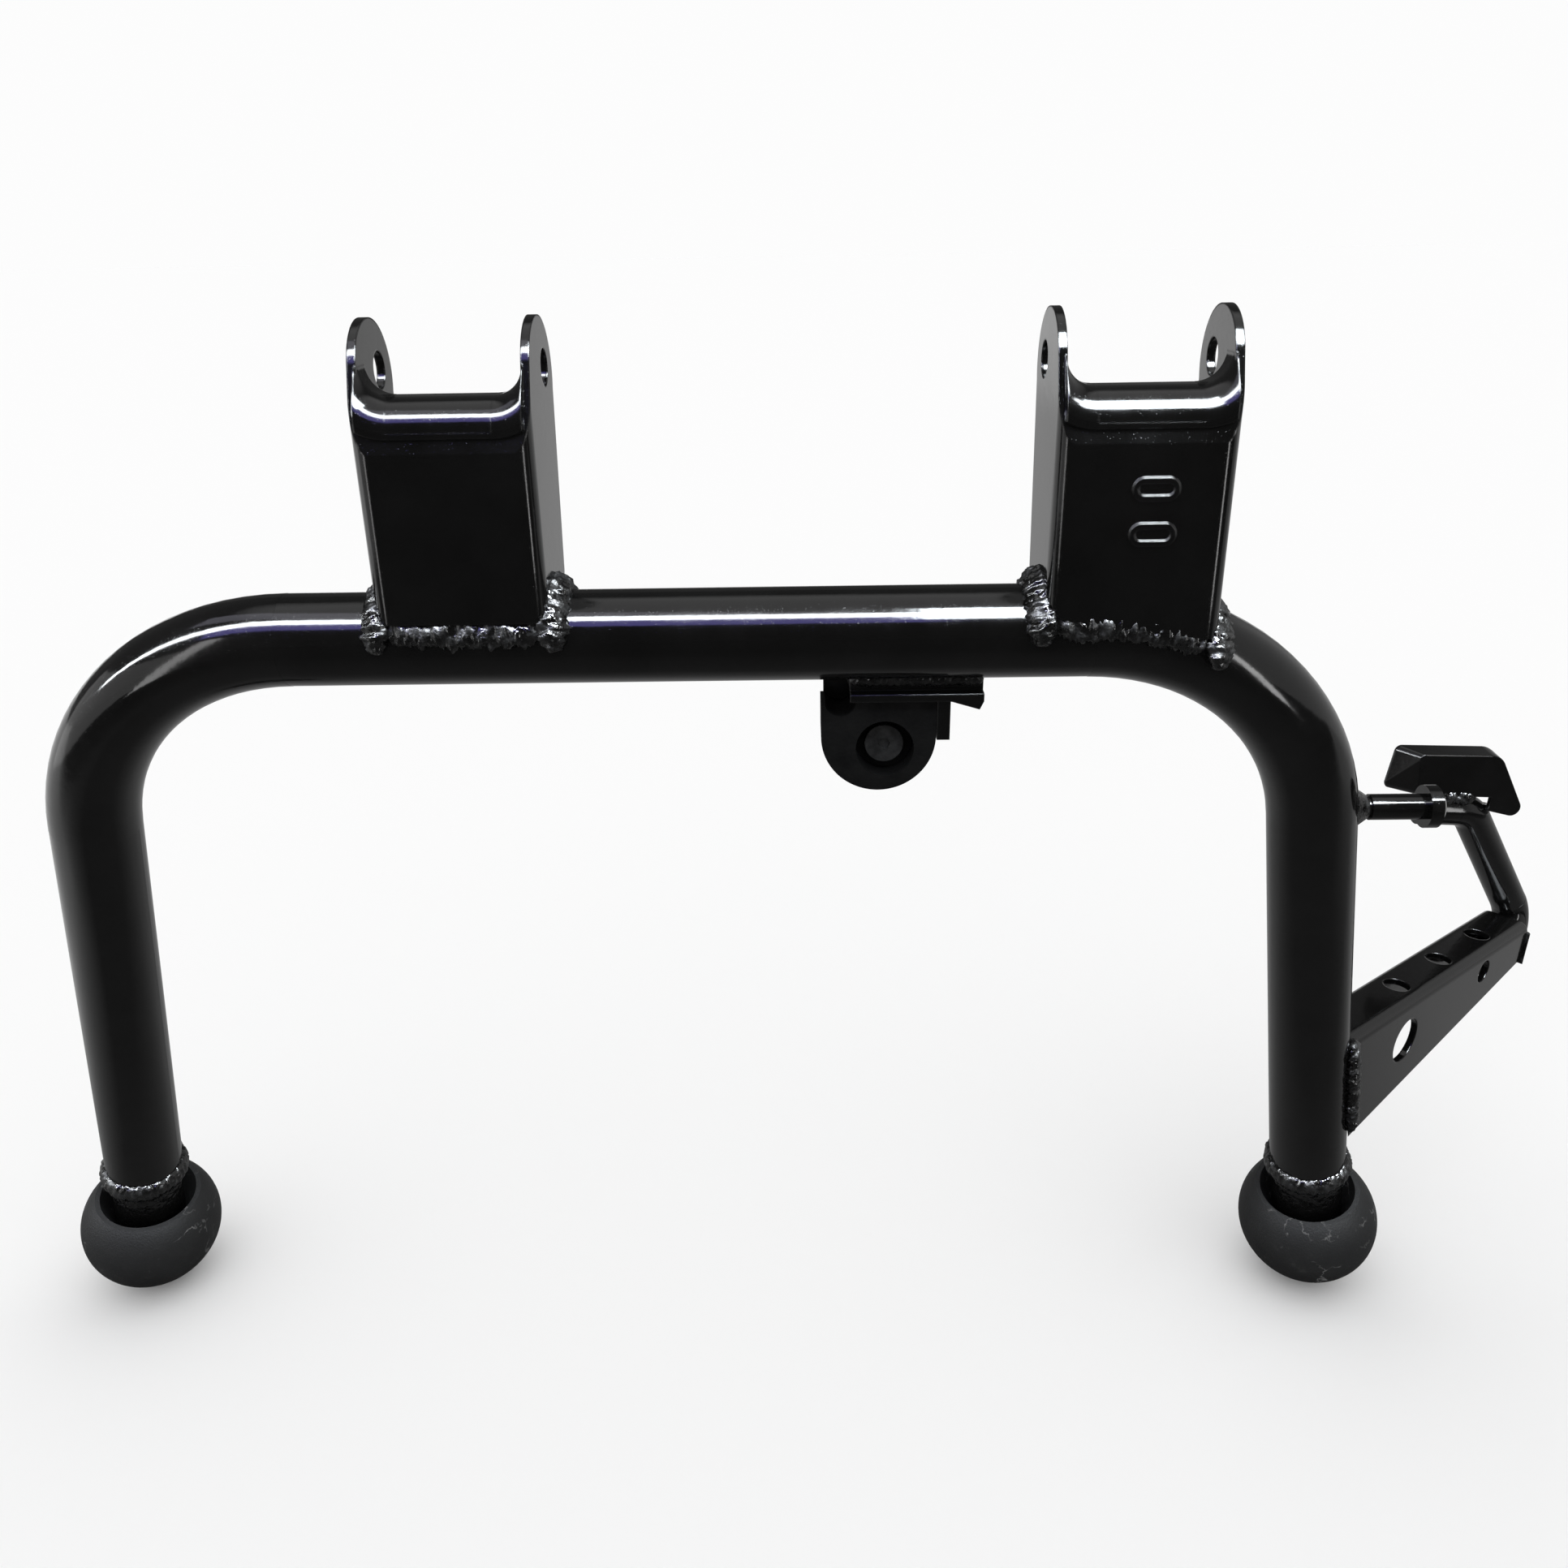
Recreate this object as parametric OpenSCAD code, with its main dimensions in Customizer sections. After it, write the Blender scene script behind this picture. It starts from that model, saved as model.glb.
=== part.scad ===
// Motorcycle centre stand: one bent tube hung from two pivot brackets, on two ball feet,
// with a rubber stop under the cross run and a foot lever with a pedal on one leg.
// The X axis is the pivot axis, +Y points back from the bracket webs and +Z points up.

/* [Main tube] */
// Outside diameter of the bent tube
tube_od = 28; // [26:0.5:32]
// Wall of the bent tube
tube_wall = 2.5; // [1.5:0.25:4]
// Radius of the two bends at the middle of the tube
bend_r = 81; // [70:1:100]
// Straight cross run to the left of the brackets' middle
run_left = 153; // [140:1:190]
// Straight cross run to the right of the brackets' middle
run_right = 87; // [82:1:110]
// Outward slope of each leg
leg_splay = 10.7; // [6:0.5:16]
// Backward slope of the legs
leg_rake = 10; // [4:0.5:15]
// Straight length of each leg below its bend
leg_len = 165; // [150:1:220]

/* [Pivot brackets] */
// Distance between the two brackets
bracket_gap = 143; // [120:1:160]
// Width of each bracket across its flanges
bracket_w = 50; // [44:0.5:56]
// Sheet thickness of the brackets
sheet_t = 2.5; // [2:0.25:3.5]
// Outside radius of the folds between web and flanges
fold_r = 5; // [4.5:0.25:7]
// Height of the pivot axis above the middle of the cross run
pivot_up = 76.5; // [70:1:90]
// Distance from the front of the web back to the pivot axis
pivot_back = 28.5; // [26:0.5:34]
// Diameter of the pivot holes
pivot_d = 10.5; // [8.5:0.5:12.5]
// Radius of the rounded ear round each pivot hole
ear_r = 16.5; // [15:0.5:20]
// Drop of the ear's rounding below the pivot axis
ear_drop = 2; // [0:0.5:5]
// Offset of the ear's rounding in front of the pivot axis
ear_fore = 5; // [0:0.5:9]
// Depth of the flanges at the heel near the tube
heel_d = 34; // [32:0.5:38]
// Drop of the web's top lip below the pivot axis
lip_drop = 5.5; // [3:0.5:9]
// Outside radius of the fold that turns the web's top backward
lip_r = 9.5; // [7:0.5:12]
// Flat length of the lip behind its fold
lip_len = 6; // [3:0.5:10]
// Radius of the lip's upturned corners
lip_corner_r = 8; // [6:0.5:12]
// Height of the web's lower edge above the middle of the cross run
web_foot = 8.5; // [5:0.5:10]
// Length of each pressed pip on the right web
pip_l = 13; // [9:0.5:16]
// Width of each pressed pip
pip_w = 6.5; // [5:0.5:8]
// Spacing of the two pips
pip_pitch = 12.5; // [10:0.5:16]
// Height that a pip stands out of the web
pip_h = 0.9; // [0.5:0.1:1.5]

/* [Feet] */
// Diameter of each ball foot
foot_d = 52.5; // [48:0.5:60]
// Distance from the tube's end to the middle of the ball
foot_drop = 37; // [33:0.5:44]
// Diameter of the turned neck that carries the ball
neck_d = 26; // [22:0.5:26]
// Depth that the neck goes into the ball, below the ball's middle
neck_seat = 9; // [4:0.5:14]
// Length of the neck's spigot inside the tube
spigot_l = 20; // [12:1:30]
// Radius of the dished rim on top of the ball
rim_r = 19.5; // [17:0.5:21]
// Width of the rim's flat land
rim_w = 1.5; // [1:0.25:2.5]

/* [Stop] */
// Middle of the rubber buffer, right of the brackets' middle
stop_x = 24.8; // [0:0.2:40]
// Width of the rubber buffer
buffer_w = 35.5; // [32:0.5:42]
// Thickness of the rubber buffer
buffer_t = 16; // [14:0.5:20]
// Height of the buffer from the plate to the middle of its rounding
buffer_h = 12; // [9:0.5:16]
// Diameter of the round recess in the buffer
recess_d = 18; // [15:0.5:20]
// Depth of the recess
recess_h = 8; // [5:0.5:10]
// Offset of the recess to the right of the buffer's middle
recess_x = 2; // [0:0.5:4]
// Drop of the recess below the middle of the buffer's rounding
recess_drop = 4; // [0:0.5:6]
// Thread diameter of the buffer's screw
screw_d = 6; // [5:1:6]
// Thickness of the stop bracket's sheet
stop_t = 2.5; // [2:0.25:3]
// Gap between the cross run and the stop bracket's plate
stop_gap = 4.6; // [4:0.2:7]
// Thickness of the cheek beside the buffer
cheek_t = 4; // [2:0.5:5]
// Length that the plate reaches beyond the buffer on the right
stop_over = 14; // [12:0.5:20]
// Height of the hook at the plate's right end
hook_h = 2.6; // [1.5:0.2:4]

/* [Lever arm] */
// Distance of the arm's top edge above the tube's end, along the leg
arm_up = 65; // [60:1:75]
// Angle that the arm turns back from the leg's outward side
arm_yaw = 41.7; // [30:1:50]
// Slope of the arm below the square to the leg
arm_droop = 18; // [10:1:24]
// Distance from the leg's middle to the arm's outer end
arm_l = 163; // [150:1:180]
// Width of the arm's folded channel
arm_w = 20; // [19:0.5:24]
// Sheet thickness of the arm
arm_t = 2.5; // [2:0.25:2.5]
// Height of the arm at the leg
arm_h_in = 52; // [46:1:58]
// Height of the arm at its outer end
arm_h_out = 17; // [16:0.5:22]
// Offset of the arm's middle in front of the leg's middle
arm_shift = 2.8; // [0:0.2:3]
// Diameter of the three holes in the arm's top
top_hole_d = 10; // [7:0.5:12]
// Distance from the arm's outer end back to the last top hole
top_hole_in = 29; // [24:1:36]
// Spacing of the top holes
top_hole_pitch = 36; // [28:1:38]
// Diameter of the large side hole
big_hole_d = 18.5; // [12:0.5:20]
// Distance from the arm's outer end back to the large side hole
big_hole_in = 107; // [100:1:115]
// Diameter of the small side hole
small_hole_d = 10; // [7:0.5:10]
// Distance from the arm's outer end back to the small side hole
small_hole_in = 41; // [36:1:50]

/* [Pedal] */
// Diameter of the pedal rod
rod_d = 14.5; // [12:0.5:14.5]
// Middle radius of the rod's lower elbow
elbow_r = 10; // [9:0.5:12]
// Middle radius of the rod's upper bend
knee_r = 11; // [9:0.5:14]
// Reach of the elbow's corner beyond the arm's end
elbow_out = 21.5; // [17:0.5:23]
// Gap between the arm's top sheet and the rod under it
rod_tuck = 2; // [0.5:0.5:3]
// Rise of the rod from the arm to the pedal
rod_rise = 62; // [50:1:75]
// Distance that the rod leans back toward the leg as it rises
rod_lean = 43; // [32:1:48]
// Distance that the rod leans away from the front as it rises
rod_back = 18; // [12:1:26]
// Length of the rod's upper end past its bend
grip_l = 22; // [19:0.5:28]
// Sheet thickness of the pedal pad
pad_t = 2.5; // [2:0.25:3]
// Height of the pad's crown above the rod's middle
pad_top = 27; // [24:0.5:32]
// Reach of the pad's face past the knee, along the grip
pad_l = 29.5; // [27:0.5:36]
// Reach of the pad past the knee on the outer side
pad_out = 18.5; // [15:0.5:22]
// Depth of the pad's turned edge
pad_edge = 10; // [8:0.5:12]
// Extra width of the pad's rear rim on its inner side
pad_flare = 6; // [3:0.5:8]

/* [Spring pin] */
// Diameter of the spring pin
pin_d = 8.5; // [7:0.5:10]
// Distance that the pin stands out of the leg
pin_l = 27; // [22:0.5:32]
// Diameter of the pin's head
pin_head_d = 14; // [12:0.5:18]
// Thickness of the pin's head
pin_head_h = 5.5; // [4:0.5:7]
// Diameter of the groove at the pin's root
pin_root_d = 7; // [5.5:0.5:7]
// Length of that groove
pin_root_l = 4; // [2:0.5:6]
// Height of the pin above the end of the leg's bend
pin_up = 1; // [0:0.5:4]

/* [Hidden] */
$fn = 96;

// Overshoot of cuts past the faces that they open
cut = 1;
// Root gap left between parts before they are welded
root_gap = 0.3;
// Size of the weld beads
bead = 2.5;
// Leg of the fillets round the brackets, the share of it at their hollow middle, and their turn
fillet = 5;
fillet_sag = 0.45;
fillet_turn = 130;
// Rubber and screw clearances
seat_gap = 0.2;
// Extra radius of the bends, and the depth that a straight length enters them
swell = 0.05;
lap = 0.5;
// Angles at which an ear's round leaves its front slope and meets its rear edge
ear_front = 15;
ear_rear = 6;
// Drop from the lip's fold to the start of the ear's front slope, and the step at the heel
ear_fall = 5;
heel_step = 4;
// Offset of the pips from the middle of the web
pip_shift = 2.5;
// Bulge of the ring bead beyond the tube
ring_bulge = 1.5;
// Gap between the buffer's front face and the middle of the cross run
buffer_step = 1;
// Outside radius of the arm's folds
arm_fold_r = 4;
// Length of rod inside the arm
rod_in = 30;
// Depths of the two side holes below the arm's top edge
big_hole_drop = 18;
small_hole_drop = 9.5;
// Small corner of the pad, its large outer corner and the round at its outer foot
pad_corner = 3;
pad_crown_r = 7.5;
pad_foot_r = 4.5;
// Slope of the pad's rim: how far its outline grows from front to back, all round
pad_slope = 0.8;
pad_lip = 1.8;
// Thickness of the two slices between which the pad's rim runs
pad_slice = 1;
// Facets of a pad corner
pad_facets = 32;
// Chamfer of the pin's head
pin_edge = 1.5;
// Height and width of the fillet at the pin's root
pin_fillet = 3;

tube_r = tube_od / 2;
tube_y = -pivot_back + sheet_t + root_gap + tube_r;
tube_z = -pivot_up;
bend_angle = 90 - leg_splay;
bracket_x = (bracket_gap + bracket_w) / 2;
web_y = -pivot_back;
ear_y = -ear_fore;
lip_z = -lip_drop;
fold_z = lip_z - lip_r;
heel_z = tube_z + tube_r + 2;
inner_w = bracket_w - 2 * sheet_t;
lip_flat = inner_w - 2 * lip_corner_r;
corner_z = lip_z + lip_corner_r;
web_z = tube_z + web_foot;
neck_r = neck_d / 2;
foot_r = foot_d / 2;
rim_h = sqrt(foot_r * foot_r - rim_r * rim_r);
plate_z = tube_z - tube_r - stop_gap;
buffer_r = buffer_w / 2;
buffer_z = plate_z - stop_t - buffer_h;
buffer_front = tube_y - buffer_step;
arm_in = arm_w - 2 * arm_t;
rod_r = rod_d / 2;
rod_low = -arm_t - rod_tuck - rod_r;
arm_s = leg_len - arm_up;
grip_yaw = 140;
pad_front = rod_r + root_gap;

// Fall of the bent tube below its cross run at a distance x beyond the bend's start
function fall(x) = x > 0 ? bend_r - sqrt(bend_r * bend_r - x * x) : 0;
function run(side) = side > 0 ? run_right : run_left;
function unit(v) = v / norm(v);

// Puts children on the middle of the cross run, in the plane of the legs
module tube_frame() {
    translate([0, tube_y, tube_z]) rotate([leg_rake, 0, 0]) children();
}

// Puts children on a leg's axis, s below the end of its bend, with +Z up along the leg
module leg_frame(side, s) {
    tube_frame() translate([side * run(side), 0, -bend_r]) rotate([0, side * bend_angle, 0])
        translate([side * s, 0, bend_r]) rotate([0, -side * 90, 0]) children();
}

// A round bar of radius r that follows the bent tube, with over added at each end
module u_bar(r, over = 0) {
    tube_frame() {
        translate([run_right + lap, 0, 0]) rotate([0, -90, 0])
            cylinder(r = r, h = run_left + run_right + 2 * lap);
        translate([run_right, 0, -bend_r]) rotate([90, 0, 0]) rotate([0, 0, leg_splay])
            rotate_extrude(angle = bend_angle) translate([bend_r, 0]) circle(r + swell);
        translate([-run_left, 0, -bend_r]) rotate([90, 0, 0]) rotate([0, 0, 90])
            rotate_extrude(angle = bend_angle) translate([bend_r, 0]) circle(r + swell);
    }
    for (side = [-1, 1])
        leg_frame(side, leg_len) translate([0, 0, -over]) cylinder(r = r, h = leg_len + over + lap);
}

module main_tube() {
    color("#1c1c1e") difference() {
        u_bar(tube_r);
        u_bar(tube_r - tube_wall, cut);
    }
}

// Channel section: web along X at y = 0, flanges back to y = depth
module channel_section(w, depth, t, r) {
    difference() {
        union() {
            translate([-w / 2, r]) square([w, depth - r]);
            translate([-w / 2 + r, 0]) square([w - 2 * r, depth]);
            for (side = [-1, 1]) translate([side * (w / 2 - r), r]) circle(r);
        }
        translate([-w / 2 + t, r]) square([w - 2 * t, depth]);
        translate([-w / 2 + r, t]) square([w - 2 * r, depth]);
        for (side = [-1, 1]) translate([side * (w / 2 - r), r]) circle(r - t);
    }
}

// Side outline of a bracket in Y and Z: a round ear over a body that narrows to the heel
module bracket_side(low) {
    translate([ear_y, -ear_drop]) circle(ear_r);
    polygon([[web_y, low], [web_y, fold_z - ear_fall],
        [ear_y - ear_r * cos(ear_front), -ear_drop + ear_r * sin(ear_front)],
        [ear_y + ear_r * cos(ear_rear), -ear_drop + ear_r * sin(ear_rear)],
        [web_y + heel_d, heel_z], [web_y + heel_d - heel_step, low]]);
}

// Section of the lip: x is the drop below its corner centre, y the depth behind the web's front
module lip_section(grow) {
    fold_x = lip_corner_r + lip_r;
    intersection() {
        difference() {
            translate([fold_x, lip_r]) circle(lip_r + grow);
            translate([fold_x, lip_r]) circle(lip_r - sheet_t - grow);
        }
        translate([0, 0]) square([fold_x, lip_r]);
    }
    translate([lip_corner_r - grow, lip_r - lap]) square([sheet_t + 2 * grow, lip_len + lap]);
    translate([fold_x - lap, 0]) square([3 * lap, sheet_t]);
}

// The lip over the web: a flat middle and two corners that turn up into the ears
module web_lip() {
    inside = inner_w + 2 * lap;
    intersection() {
        translate([0, web_y, corner_z]) rotate([-90, 0, 0]) {
            for (turn = [0, 90]) translate([turn > 0 ? -lip_flat / 2 : lip_flat / 2, 0, 0])
                rotate([0, 0, turn]) rotate_extrude(angle = 90) lip_section(swell);
            translate([-lip_flat / 2 - lap, 0, 0]) rotate([90, 0, 90]) linear_extrude(lip_flat + 2 * lap)
                lip_section(0);
        }
        translate([-inside / 2, web_y, fold_z - 2 * lap]) cube([inside, 2 * lip_r + lip_len, 3 * lip_r]);
    }
}

// Opening between the ears above the lip, as wide as the channel's inside
module lip_window(top) {
    fold_x = lip_corner_r + lip_r;
    intersection() {
        union() {
            for (side = [-1, 1]) translate([side * lip_flat / 2, corner_z]) circle(fold_x);
            translate([-lip_flat / 2, fold_z]) square([lip_flat, fold_x]);
            translate([-inner_w / 2, corner_z]) square([inner_w, 2 * top]);
        }
        translate([-inner_w / 2, fold_z]) square([inner_w, 2 * top - fold_z]);
    }
}

// One bracket about its own middle, with its lower edge following the tube below it
module pivot_bracket(side) {
    top = ear_r - ear_drop;
    low_in = web_z - fall(bracket_gap / 2 - run(side));
    low_out = web_z - fall(bracket_gap / 2 + bracket_w - run(side));
    low = min(low_in, low_out);
    difference() {
        union() {
            difference() {
                intersection() {
                    translate([0, web_y, low])
                        linear_extrude(top - low) channel_section(bracket_w, 3 * ear_r, sheet_t, fold_r);
                    translate([-bracket_w / 2, 0, 0]) rotate([90, 0, 90])
                        linear_extrude(bracket_w) bracket_side(low);
                    translate([0, 2 * ear_r, 0]) rotate([90, 0, 0]) linear_extrude(4 * ear_r)
                        polygon([[-side * bracket_w / 2, low_in], [side * bracket_w / 2, low_out],
                            [side * bracket_w / 2, top], [-side * bracket_w / 2, top]]);
                }
                translate([0, web_y + 3 * ear_r, 0]) rotate([90, 0, 0])
                    linear_extrude(3 * ear_r + cut) lip_window(top);
            }
            web_lip();
            if (side > 0) pips();
        }
        translate([-bracket_w / 2 - cut, 0, 0]) rotate([0, 90, 0])
            cylinder(d = pivot_d, h = bracket_w + 2 * cut);
        translate([-side * bracket_x, 0, 0]) u_bar(tube_r + root_gap);
    }
}

// Two plain pressed pips on the front of a web, each with a shallow dimple
module pips() {
    middle = (fold_z + web_z) / 2 + pip_pitch * 3 / 4;
    for (i = [0, 1]) translate([pip_shift, web_y, middle - i * pip_pitch])
        rotate([90, 0, 0]) difference() {
            pip_bar(pip_l, pip_w, pip_h);
            translate([0, 0, pip_h / 4]) pip_bar(pip_l - pip_w / 2, pip_w / 2, pip_h);
        }
}

module pip_bar(l, w, h) {
    for (side = [-1, 1]) translate([side * (l - w) / 2, 0, 0]) cylinder(d = w, h = h);
    translate([-(l - w) / 2, -w / 2, 0]) cube([l - w, w, h]);
}

module left_pivot_bracket() {
    color("#1c1c1e") translate([-bracket_x, 0, 0]) pivot_bracket(-1);
}

module right_pivot_bracket() {
    color("#1c1c1e") translate([bracket_x, 0, 0]) pivot_bracket(1);
}

// Bead under a bracket's web, between the web's lower edge and the front of the tube
module web_bead(side) {
    x_in = bracket_gap / 2 + fold_r;
    x_out = bracket_gap / 2 + bracket_w - fold_r;
    z_in = web_z - fall(x_in - run(side));
    z_out = web_z - fall(x_out - run(side));
    slope = atan2(z_out - z_in, x_out - x_in);
    difference() {
        translate([side * x_in, web_y + sheet_t / 2, z_in - bead / 2]) rotate([0, side * (90 - slope), 0])
            cylinder(r = bead, h = norm([x_out - x_in, z_out - z_in]));
        u_bar(tube_r);
        translate([side * bracket_x, 0, 0]) web_block(side);
    }
}

// The solid block above a bracket's lower edge, as deep as its web
module web_block(side) {
    low_in = web_z - fall(bracket_gap / 2 - run(side));
    low_out = web_z - fall(bracket_gap / 2 + bracket_w - run(side));
    translate([0, web_y + sheet_t, 0]) rotate([90, 0, 0]) linear_extrude(sheet_t + bead)
        polygon([[-side * bracket_w / 2, low_in], [side * bracket_w / 2, low_out],
            [side * bracket_w / 2, 0], [-side * bracket_w / 2, 0]]);
}

module left_bracket_web_weld() {
    color("#2a2a2c") web_bead(-1);
}

module right_bracket_web_weld() {
    color("#2a2a2c") web_bead(1);
}

// Fillet round the top of the straight cross run, against a flange face at x that looks toward dir
module flange_bead(x, dir) {
    sag = fillet * fillet_sag;
    translate([x, tube_y, tube_z]) rotate([0, 90, 0]) rotate([0, 0, 180 - fillet_turn / 2])
        rotate_extrude(angle = fillet_turn)
            polygon([[tube_r, 0], [tube_r + fillet, 0], [tube_r + sag, dir * sag], [tube_r, dir * fillet]]);
}

module left_bracket_outer_weld() {
    color("#2a2a2c") flange_bead(-bracket_x - bracket_w / 2, -1);
}

module left_bracket_inner_weld() {
    color("#2a2a2c") flange_bead(-bracket_x + bracket_w / 2, 1);
}

module right_bracket_inner_weld() {
    color("#2a2a2c") flange_bead(bracket_x - bracket_w / 2, -1);
}

// Fillet round the bend of the tube, against the outer face of the right bracket
module right_bracket_outer_weld() {
    x = bracket_gap / 2 + bracket_w;
    z = tube_z - fall(x - run_right);
    color("#2a2a2c") difference() {
        intersection() {
            u_bar(tube_r + fillet * (1 - fillet_sag));
            translate([x, tube_y - tube_r, z + web_foot]) cube([fillet, 2 * tube_r, 2 * tube_r]);
            translate([x, tube_y, z - fillet / 2]) rotate([0, 90, 0])
                cylinder(r1 = tube_r + 3 * fillet / 2, r2 = tube_r + fillet / 2, h = fillet);
        }
        u_bar(tube_r);
    }
}

// Turned neck with a spigot in the tube and a plain end in the ball
module foot_neck(side) {
    color("#17171a") leg_frame(side, leg_len) {
        translate([0, 0, -foot_drop - neck_seat])
            cylinder(r = neck_r, h = foot_drop + neck_seat - root_gap);
        translate([0, 0, -cut]) cylinder(r = tube_r - tube_wall - seat_gap, h = spigot_l + cut);
    }
}

module left_foot_neck() {
    foot_neck(-1);
}

module right_foot_neck() {
    foot_neck(1);
}

// Ring bead that joins the tube's end to the neck
module foot_weld(side) {
    bulge = tube_r - neck_r + ring_bulge;
    ring_r = ring_bulge * bead;
    half = sqrt(ring_r * ring_r - (ring_r - bulge) * (ring_r - bulge));
    color("#2a2a2c") leg_frame(side, leg_len) translate([0, 0, -half - root_gap])
        rotate_extrude() intersection() {
            translate([neck_r - ring_r + bulge, 0]) circle(ring_r);
            translate([neck_r, -half]) square([bulge, 2 * half]);
        }
}

module left_foot_weld() {
    foot_weld(-1);
}

module right_foot_weld() {
    foot_weld(1);
}

// Moulded ball with a dished top and a blind socket for the neck
module ball_foot(side) {
    color("#3a3a3c") leg_frame(side, leg_len + foot_drop) rotate_extrude() difference() {
        intersection() {
            circle(foot_r);
            translate([0, -foot_r]) square([foot_r, foot_r + rim_h]);
        }
        polygon([[neck_r, 0], [neck_r + seat_gap + cut, rim_h / 3], [rim_r - rim_w, rim_h + cut],
            [neck_r, rim_h + cut]]);
        translate([-cut, -neck_seat - seat_gap]) square([neck_r + seat_gap + cut, neck_seat + foot_r]);
    }
}

module left_ball_foot() {
    ball_foot(-1);
}

module right_ball_foot() {
    ball_foot(1);
}

// Folded stop bracket: a plate under the tube, an upstand welded to it, a tab behind the
// buffer, a cheek beside it and a small hook at the right end
module stop_bracket() {
    left = stop_x - buffer_r / 2;
    right = stop_x + buffer_r + stop_over;
    back = buffer_front + buffer_t;
    low = plate_z - stop_t;
    cheek_x = stop_x + buffer_r + seat_gap;
    cheek_end = cheek_x + cheek_t;
    color("#1c1c1e") difference() {
        union() {
            translate([left, buffer_front - stop_t, low])
                cube([right - left, buffer_t + 2 * stop_t, stop_t]);
            translate([left, tube_y, low])
                cube([right - left, stop_t, stop_gap + stop_t + tube_r / 2]);
            translate([stop_x, back + stop_t, 0]) rotate([90, 0, 0]) linear_extrude(stop_t)
                round_tongue(buffer_r - cut, buffer_z, plate_z);
            translate([cheek_x, buffer_front, buffer_z - stop_t / 2])
                cube([cheek_t, buffer_t + stop_t, plate_z - buffer_z + stop_t / 2]);
            translate([0, buffer_front - stop_t + buffer_t / 2, low]) rotate([90, 0, 0])
                linear_extrude(buffer_t / 2) polygon([[cheek_end, 0], [right - stop_t / 2, -hook_h],
                    [right, 0], [right, stop_t], [cheek_end, stop_t]]);
        }
        translate([stop_x + recess_x, back - cut, buffer_z - recess_drop]) rotate([-90, 0, 0])
            cylinder(d = screw_d + 2 * seat_gap, h = stop_t + 2 * cut);
        u_bar(tube_r + root_gap);
    }
}

// Two beads between the cross run and the stop bracket's upstand
module stop_bracket_weld() {
    left = stop_x - buffer_r / 2;
    length = buffer_w * 3 / 4 + stop_over;
    color("#2a2a2c") difference() {
        for (y = [tube_y, tube_y + stop_t])
            translate([left, y, tube_z - tube_r]) rotate([0, 90, 0]) cylinder(r = bead, h = length);
        u_bar(tube_r);
        translate([left - cut, tube_y, plate_z]) cube([length + 2 * cut, stop_t, 2 * tube_r]);
    }
}

// Outline of a tongue that hangs from top to a half circle about low
module round_tongue(r, low, top) {
    intersection() {
        union() {
            translate([0, low]) circle(r);
            translate([-r, low]) square([2 * r, top - low]);
        }
        translate([-r, low - r]) square([2 * r, top - low + r]);
    }
}

// Round-bottomed rubber block with a recess for the screw and a notched left shoulder
module stop_buffer() {
    top = plate_z - stop_t - seat_gap;
    shoulder = buffer_r / 3;
    color("#141415") difference() {
        translate([stop_x, buffer_front + buffer_t - seat_gap, 0]) rotate([90, 0, 0])
            linear_extrude(buffer_t - seat_gap) difference() {
                round_tongue(buffer_r, buffer_z, top);
                translate([shoulder - buffer_r, top]) circle(shoulder - cut);
                translate([-buffer_r, top - 2 * cut]) square([shoulder, 3 * cut]);
            }
        translate([stop_x + recess_x, buffer_front + recess_h, buffer_z - recess_drop])
            rotate([90, 0, 0]) cylinder(d = recess_d, h = recess_h + cut);
        translate([stop_x + recess_x, buffer_front, buffer_z - recess_drop]) rotate([-90, 0, 0])
            cylinder(d = screw_d + 2 * seat_gap, h = buffer_t + cut);
    }
}

// Puts children on the screw's axis, y behind the buffer's front face, with +Z to the back
module screw_frame(y) {
    translate([stop_x + recess_x, buffer_front + y, buffer_z - recess_drop]) rotate([-90, 0, 0]) children();
}

// Cap screw with a hexagon socket, its head in the recess
module buffer_screw() {
    head_h = screw_d / 2;
    socket = screw_d * 2 / 3;
    color("#5a5a5c") screw_frame(recess_h - seat_gap) difference() {
        union() {
            translate([0, 0, -head_h]) cylinder(d = 2 * screw_d, h = head_h);
            translate([0, 0, -seat_gap]) cylinder(d = screw_d, h = buffer_t - recess_h + stop_t + screw_d);
        }
        translate([0, 0, -screw_d]) cylinder(d = socket, h = socket, $fn = 6);
    }
}

module buffer_nut() {
    color("#5a5a5c") screw_frame(buffer_t + stop_t + seat_gap) difference() {
        cylinder(d = 2 * screw_d, h = screw_d, $fn = 6);
        translate([0, 0, -cut]) cylinder(d = screw_d + seat_gap, h = screw_d + 2 * cut);
    }
}

// Puts children on the arm: +X along its top edge, -Y to the front and +Z up
module arm_frame() {
    leg_frame(1, arm_s) rotate([0, 0, arm_yaw]) rotate([0, arm_droop, 0])
        translate([0, -arm_shift, 0]) children();
}

// Tapered channel, open below, cut to the leg at its inner end and notched for the rod
module lever_arm() {
    color("#1c1c1e") difference() {
        arm_frame() difference() {
            intersection() {
                rotate([90, 0, 90]) rotate([0, 0, 180]) linear_extrude(arm_l)
                    channel_section(arm_w, arm_h_in, arm_t, arm_fold_r);
                translate([0, arm_w / 2, 0]) rotate([90, 0, 0]) linear_extrude(arm_w)
                    polygon([[0, 0], [arm_l, 0], [arm_l, -arm_h_out], [arm_h_in * sin(arm_droop),
                        -arm_h_in * cos(arm_droop)]]);
            }
            for (i = [0 : 2]) translate([arm_l - top_hole_in - i * top_hole_pitch, 0, -fold_r])
                cylinder(d = top_hole_d, h = fold_r + cut);
            side_hole(arm_l - big_hole_in, big_hole_d, big_hole_drop);
            side_hole(arm_l - small_hole_in, small_hole_d, small_hole_drop);
            rod_shape(rod_r + seat_gap);
        }
        u_bar(tube_r + root_gap);
    }
}

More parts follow.
